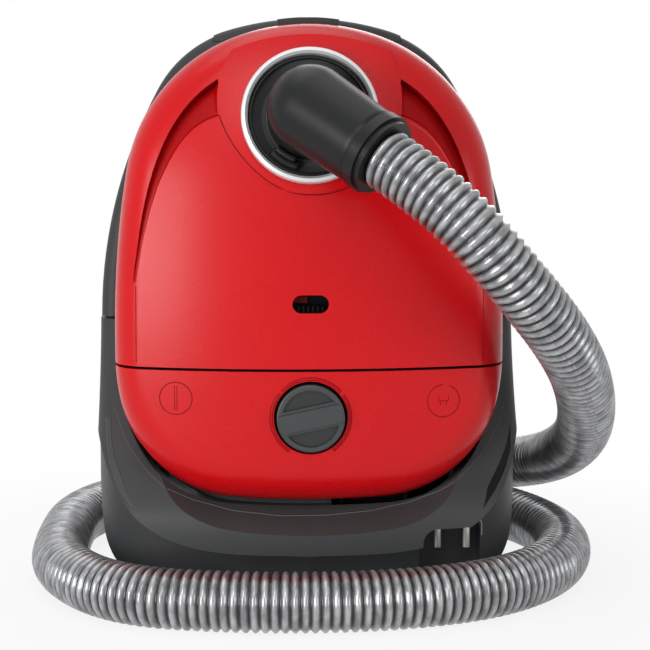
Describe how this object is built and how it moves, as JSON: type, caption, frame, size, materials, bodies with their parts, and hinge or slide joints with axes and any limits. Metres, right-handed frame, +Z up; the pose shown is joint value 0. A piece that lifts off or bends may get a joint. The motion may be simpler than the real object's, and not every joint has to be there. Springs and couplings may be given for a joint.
{
  "type": "canister vacuum cleaner",
  "caption": "Canister vacuum cleaner stored upright, red lid over a grey housing, coiled suction hose at its foot.",
  "frame": {"origin": "centre of the standing footprint on the floor, hose and its elbow left out", "axes": "+Z up as stored on its rear end, -Y the side of the lid that faces the viewer, +X to the viewer's right"},
  "size_m": [0.3988, 0.4188, 0.3815],
  "materials": {
    "red_gloss_plastic": "gloss",
    "grey_plastic": "satin",
    "dark_plastic": "satin",
    "black_plastic": "matte",
    "silver_ring": "satin",
    "clear_plastic": "gloss",
    "rubber": "matte",
    "foam": "matte",
    "filter_fleece": "matte",
    "bag_fleece": "matte",
    "cardboard": "matte",
    "hose_grey": "satin",
    "cord_black": "satin",
    "zinc_steel": "brushed",
    "steel_laminate": "brushed",
    "copper": "satin",
    "aluminium": "satin",
    "board": "satin",
    "nickel_pins": "polished"
  },
  "bodies": {
    "housing": {"tub": "grey_plastic", "carry_handle": "dark_plastic", "rear_cover": "grey_plastic", "rubber_feet": "rubber", "bulkhead": "dark_plastic", "motor_filter_frame": "silver_ring", "motor_filter": "filter_fleece", "dust_bag": "bag_fleece", "bag_collar": "cardboard", "bag_holder": "silver_ring", "motor_can": "zinc_steel", "motor_stator": "steel_laminate", "motor_seal": "rubber", "motor_cradle": "rubber", "reel_axle": "black_plastic", "spring_case": "black_plastic", "control_frame": "black_plastic", "speed_board": "board", "power_switch": "black_plastic", "pedal_springs": "zinc_steel", "wheel_axles": "zinc_steel", "exhaust_grille": "black_plastic", "exhaust_filter": "foam", "plug_body": "black_plastic", "plug_pins": "nickel_pins", "cord_lead": "cord_black", "underside_screws": "zinc_steel", "suction_hose": "hose_grey", "hose_end_cuff": "dark_plastic", "handgrip": "dark_plastic"},
    "lid": {"lid_shell": "red_gloss_plastic", "lid_seal": "rubber", "lid_hinge_pins": "zinc_steel", "inlet_ring": "silver_ring", "inlet_dish": "dark_plastic", "inlet_seal": "rubber", "indicator_housing": "clear_plastic", "latch_pin": "zinc_steel", "latch_spring": "zinc_steel"},
    "elbow": {"hose_elbow": "dark_plastic", "hose_cuff": "dark_plastic"},
    "latch": {"lid_latch": "dark_plastic"},
    "flag": {"indicator_flag": "red_gloss_plastic"},
    "pedal": {"pedal_cover": "red_gloss_plastic"},
    "knob": {"power_knob": "grey_plastic"},
    "plunger": {"switch_plunger": "silver_ring"},
    "brake": {"brake_lever": "black_plastic"},
    "reel": {"reel_drum": "black_plastic", "wound_cord": "cord_black"},
    "rotor": {"motor_rotor": "copper", "impeller": "aluminium"},
    "wheel_left": {"wheel_hub_left": "dark_plastic", "wheel_tyre_left": "rubber"},
    "wheel_right": {"wheel_hub_right": "dark_plastic", "wheel_tyre_right": "rubber"},
    "caster": {"caster_fork": "dark_plastic", "caster_pin": "zinc_steel"},
    "front_wheel": {"caster_wheel": "rubber"},
    "air_control": {"air_slider": "silver_ring"}
  },
  "joints": [
    {"name": "lid_hinge", "type": "hinge", "parent": "housing", "child": "lid", "pos_m": [0, -0.098, 0.172], "axis": [1, 0, 0], "range_deg": [0, 80], "deforming": ["suction_hose"]},
    {"name": "elbow_swivel", "type": "hinge", "parent": "lid", "child": "elbow", "pos_m": [0, -0.093, 0.3194], "axis": [0, -0.9744, 0.225], "continuous": true, "deforming": ["suction_hose"]},
    {"name": "lid_latch_rock", "type": "hinge", "parent": "lid", "child": "latch", "pos_m": [0, -0.034, 0.3685], "axis": [-1, 0, 0], "range_deg": [0, 12], "stiffness_Nm_per_rad": 0.5, "springref_deg": -17.19},
    {"name": "full_flag_slide", "type": "slide", "parent": "lid", "child": "flag", "axis": [1, 0, 0], "range_m": [0, 0.009], "stiffness_N_per_m": 8, "springref_m": -0.002},
    {"name": "pedal_rock", "type": "hinge", "parent": "housing", "child": "pedal", "pos_m": [0, -0.09, 0.12], "axis": [0, 0, 1], "range_deg": [-2.5, 2.5], "stiffness_Nm_per_rad": 4},
    {"name": "power_knob_turn", "type": "hinge", "parent": "housing", "child": "knob", "pos_m": [0, -0.112, 0.129], "axis": [0, 1, 0], "range_deg": [-60, 220]},
    {"name": "switch_plunger_press", "type": "slide", "parent": "housing", "child": "plunger", "axis": [0, 1, 0], "range_m": [-0.0035, 0.0035]},
    {"name": "cord_brake_press", "type": "hinge", "parent": "housing", "child": "brake", "pos_m": [0, -0.068, 0.15], "axis": [1, 0, 0], "range_deg": [0, 8], "stiffness_Nm_per_rad": 1.5, "springref_deg": -11.46},
    {"name": "cord_reel_turn", "type": "hinge", "parent": "housing", "child": "reel", "pos_m": [0.042, -0.018, 0.09], "axis": [1, 0, 0], "continuous": true},
    {"name": "motor_spin", "type": "hinge", "parent": "housing", "child": "rotor", "pos_m": [-0.056, -0.016, 0.08], "axis": [0, 0, 1], "continuous": true},
    {"name": "left_wheel_roll", "type": "hinge", "parent": "housing", "child": "wheel_left", "pos_m": [-0.1, 0.078, 0.062], "axis": [1, 0, 0], "continuous": true},
    {"name": "right_wheel_roll", "type": "hinge", "parent": "housing", "child": "wheel_right", "pos_m": [0.1, 0.078, 0.062], "axis": [1, 0, 0], "continuous": true},
    {"name": "caster_swivel", "type": "hinge", "parent": "housing", "child": "caster", "pos_m": [0, 0.084, 0.292], "axis": [0, 1, 0], "continuous": true},
    {"name": "front_wheel_roll", "type": "hinge", "parent": "caster", "child": "front_wheel", "pos_m": [0, 0.095, 0.279], "axis": [1, 0, 0], "continuous": true},
    {"name": "air_slider_slide", "type": "slide", "parent": "housing", "child": "air_control", "axis": [-1, 0, 0], "range_m": [0, 0.012]}
  ],
  "couplings": [
    {"joint": "switch_plunger_press", "follows": "pedal_rock", "m_per_rad": -0.08}
  ]
}
